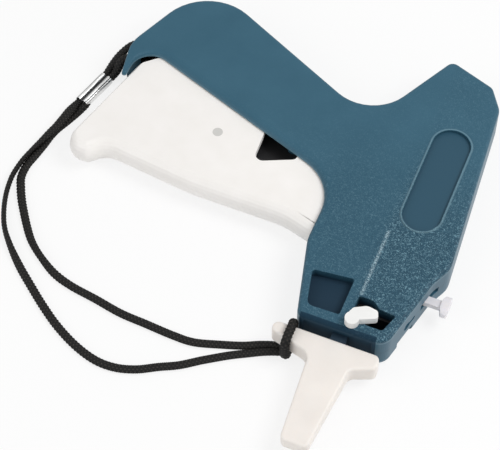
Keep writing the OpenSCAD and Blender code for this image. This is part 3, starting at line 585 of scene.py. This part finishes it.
# %% Shell material
def moulded_abs():
    material, tree, shader = new_material("moulded_abs_blue", IOR=1.5, Specular_IOR_Level=0.3)
    where = spot(tree)
    x, y, z = add(tree, "SeparateXYZ", {0: where}).outputs[:3]

    def times(a, b):
        return maths(tree, "MULTIPLY", a, b)

    height = maths(tree, "ABSOLUTE", maths(tree, "SUBTRACT", z, BODY_T / 2 * MM))
    face = to_range(tree, height, FACE[0] * MM, FACE[1] * MM)
    oval = from_oval(tree, x, y)
    sunk = times(to_range(tree, oval, (OVAL_R + 0.05) * MM, (OVAL_R - 0.05) * MM),
                 to_range(tree, z, SUNK_Z[0] * MM, SUNK_Z[1] * MM))
    pocket = times(in_box(tree, x, y, POCKET),
                   to_range(tree, maths(tree, "ADD", shifted(tree, x, POCKET_LEFT),
                                        times(shifted(tree, y, POCKET[1][0], 1), POCKET_LEAN)),
                            -0.5 * MM, -0.3 * MM))
    holes = maths(tree, "MAXIMUM", pocket, in_box(tree, x, y, WINDOW))
    depth = times(to_range(tree, z, SHADE_Z[0] * MM, SHADE_Z[1] * MM), holes)

    clouds = noise_of(tree, where, CLOUD, 3.0)
    barrel = to_range(tree, shifted(tree, x, HANDLE_X), -15 * MM, 15 * MM, 0.3, 1.0)
    nose = to_range(tree, shifted(tree, y, NOSE_Y, 1), 60 * MM, 22 * MM, 0.2, 1.0)
    right = to_range(tree, shifted(tree, x, CREASE_X), -3 * MM, 1 * MM, 0.4, 1.0)
    plain = maths(tree, "SUBTRACT", 1.0, maths(tree, "MAXIMUM", sunk, depth))
    toned = times(times(barrel, nose), times(face, plain))
    rough_here = times(toned, right)

    # The grain's commas are drawn large enough to show at the picture's size
    commas = noise_of(tree, where, COMMA, 1.0, Distortion=1.8)
    fine = noise_of(tree, where, LEATHER, 2.0)
    # Painted highlight: the commas' glints are painted as pale specks
    painted_glint = times(to_range(tree, commas, 0.54, 0.66), rough_here)
    dull = times(to_range(tree, commas, 0.48, 0.36), rough_here)
    # A pale speckled strip along the crease
    crease_strip = times(times(in_box(tree, x, y, ((CREASE_X - 0.1, CREASE_X + 0.1), CREASE_Y), 0.7), face),
                  to_range(tree, noise_of(tree, where, CREASE_SPECK, 2.0, Distortion=1.0), 0.44, 0.56))
    # Painted highlight: a pale ring on the face round the oval's edge
    oval_ring_highlight = near(tree, oval, (OVAL_R + 0.45) * MM, 0.2 * MM, 0.25 * MM)
    # Painted highlight along the rounding where the flat face begins, left out in the windows
    edge_highlight = times(near(tree, height, 5.9 * MM, 0.15 * MM, 0.5 * MM), maths(tree, "SUBTRACT", 1.0, holes))

    colour = ramp(tree, clouds, (0.3, "#2e596d"), (0.7, "#345f73"))
    colour = mix(tree, maths(tree, "ADD", times(toned, 0.3), times(rough_here, 0.6)), colour, "#1d4558")
    colour = mix(tree, times(dull, 0.5), colour, "#173747")
    colour = mix(tree, times(painted_glint, 0.6), colour, "#7ba3b2")
    colour = mix(tree, times(edge_highlight, 0.3), colour, "#86a5b2")
    colour = mix(tree, times(times(oval_ring_highlight, face), 0.35), colour, "#86a8b5")
    colour = mix(tree, times(crease_strip, 0.8), colour, "#a9c2cc")
    colour = mix(tree, sunk, colour, "#244a5d")
    colour = mix(tree, times(depth, 0.9), colour, "#0a2538")
    panel = in_box(tree, x, y, PANEL)
    colour = mix(tree, times(panel, 0.9), colour, "#0a2a3d")
    seam = near(tree, z, BODY_T / 2 * MM, 0.04 * MM, 0.05 * MM)
    colour = mix(tree, times(seam, 0.6), colour, "#152836")
    tree.links.new(colour, shader.inputs["Base Color"])
    gloss = to_range(tree, face, 0.0, 1.0, 0.36, 0.5)
    tree.links.new(maths(tree, "ADD", gloss, times(maths(tree, "MAXIMUM", panel, depth), 0.4)),
                   shader.inputs["Roughness"])
    relief = maths(tree, "ADD", times(commas, rough_here), times(times(fine, times(face, plain)), 0.25))
    bump(tree, shader, relief, 0.15, 0.6)
    return material


# %% [markdown]
# ## White plastics and metals
#
# The trigger is glossy white ABS, and the cap is softer, waxy polyethylene with a yellower tint. Both have
# a faint unevenness from the mould, far smaller than the eye resolves, which breaks up their highlights.

# %% Plastic and metal materials
SCATTER = (1, 0.9, 0.8)   # how far red, green and blue light spread in a white plastic, as shares


def moulded_plastic(name, low, high, roughness, waviness_mm=0.02, **sockets):
    """A plain moulded plastic: its two colours are the ends of a slow cloudiness."""
    material, tree, shader = new_material(name, IOR=1.5, **sockets)
    shader.inputs["Subsurface Radius"].default_value = SCATTER
    where = spot(tree)
    clouds = noise_of(tree, where, 9, 3.0)
    tree.links.new(ramp(tree, clouds, (0.3, low), (0.7, high)), shader.inputs["Base Color"])
    tree.links.new(to_range(tree, clouds, 0.0, 1.0, roughness - 0.06, roughness + 0.08),
                   shader.inputs["Roughness"])
    bump(tree, shader, noise_of(tree, where, 1.6), waviness_mm, 0.5)
    return material


def worked_metal(name, low, high, roughness):
    """Ground or drawn metal: fine streaks vary its colour and its gloss."""
    material, tree, shader = new_material(name, Metallic=1.0)
    streaks = noise_of(tree, spot(tree), 0.5, 4.0)
    tree.links.new(ramp(tree, streaks, (0.3, low), (0.7, high)), shader.inputs["Base Color"])
    tree.links.new(to_range(tree, streaks, 0.0, 1.0, roughness - 0.08, roughness + 0.12),
                   shader.inputs["Roughness"])
    bump(tree, shader, streaks, 0.01, 0.4)
    return material


STREAK_LONG = 25          # times as long as wide


def crimped_aluminium():
    """Bright drawn aluminium: painted shade and dark reflection darken its grooves, and fine streaks of painted
    dark reflection run along it.
    """
    material, tree, shader = new_material("crimped_aluminium", Metallic=1.0, Roughness=0.32)
    run = FERRULE_LOW - FERRULE_TOP
    # A TEXTURE mapping turns first and stretches after, so the streaks follow the ferrule
    turned = add(tree, "Mapping", {"Vector": spot(tree), "Rotation": (0, 0, math.atan2(-run.x, run.y)),
                                   "Scale": (1, STREAK_LONG, 1)}, vector_type="TEXTURE").outputs[0]
    streaks = noise_of(tree, turned, 0.7, 1.0)
    hollow = add(tree, "Attribute", attribute_name="hollow").outputs["Fac"]
    # Painted shade and painted dark reflection in the grooves, darker the deeper they lie
    colour = ramp(tree, hollow, (0.1, "#e4e4e3"), (0.55, "#8b8c8d"), (0.9, "#4a4b4c"))
    # Painted dark reflections, as grey streaks along the ferrule
    colour = mix(tree, maths(tree, "MULTIPLY", to_range(tree, streaks, 0.45, 0.7), 0.5), colour, "#8f9091")
    tree.links.new(colour, shader.inputs["Base Color"])
    return material


# %% Each piece gets its finish
FINISHES = {
    "housing_upper": moulded_abs(),
    "trigger": moulded_plastic("glossy_white_abs", "#f4f1ed", "#f8f5f2", 0.32),
    "needle_cap": moulded_plastic("waxy_polyethylene", "#ece6e0", "#f1ebe5", 0.48, 0.04,
                                  Subsurface_Weight=0.15, Subsurface_Scale=0.002),
    "needle_lock_lever": moulded_plastic("white_acetal", "#ebebe9", "#f1f1ef", 0.36),
    "feed_release_knob": moulded_plastic("natural_nylon", "#e3e0e4", "#ebe8eb", 0.4,
                                         Subsurface_Weight=0.2, Subsurface_Scale=0.002),
    "trigger_link_pin": moulded_plastic("grey_nylon_pin", "#cbcac6", "#d3d2ce", 0.5),
    "drive_lever": moulded_plastic("black_glass_filled_nylon", "#101012", "#18181b", 0.6, 0.05),
    # The needle base's dark colour is painted shade: it stands in for the shade in the gap between the nose and
    # the cap
    "needle_base": moulded_plastic("needle_base_painted_shade", "#0d2636", "#102c3e", 0.6, 0.05),
    "feed_wheel": moulded_plastic("white_nylon_wheel", "#e6e4df", "#eeece8", 0.4),
    "push_rod": worked_metal("ground_steel", "#aeb2b6", "#c6c9cc", 0.28),
    "trigger_spring": worked_metal("drawn_spring_wire", "#86888b", "#a2a4a6", 0.36),
}
SAME_AS = {
    "housing_upper": ["housing_lower"],
    "drive_lever": ["plunger_slide", "fastener_guide"],
    "push_rod": ["housing_screws", "trigger_pivot_pin", "drive_lever_pin", "slide_drive_pin",
                 "cutter_blade", "feed_axle", "feed_pawl", "needle"],
}
for first, finish in FINISHES.items():
    for name in [first] + SAME_AS.get(first, []):
        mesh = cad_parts[name].data
        mesh.materials.clear()
        mesh.materials.append(finish)
ferrule.data.materials.append(crimped_aluminium())
print("finishes:", len(FINISHES), "and the cord's and the ferrule's")
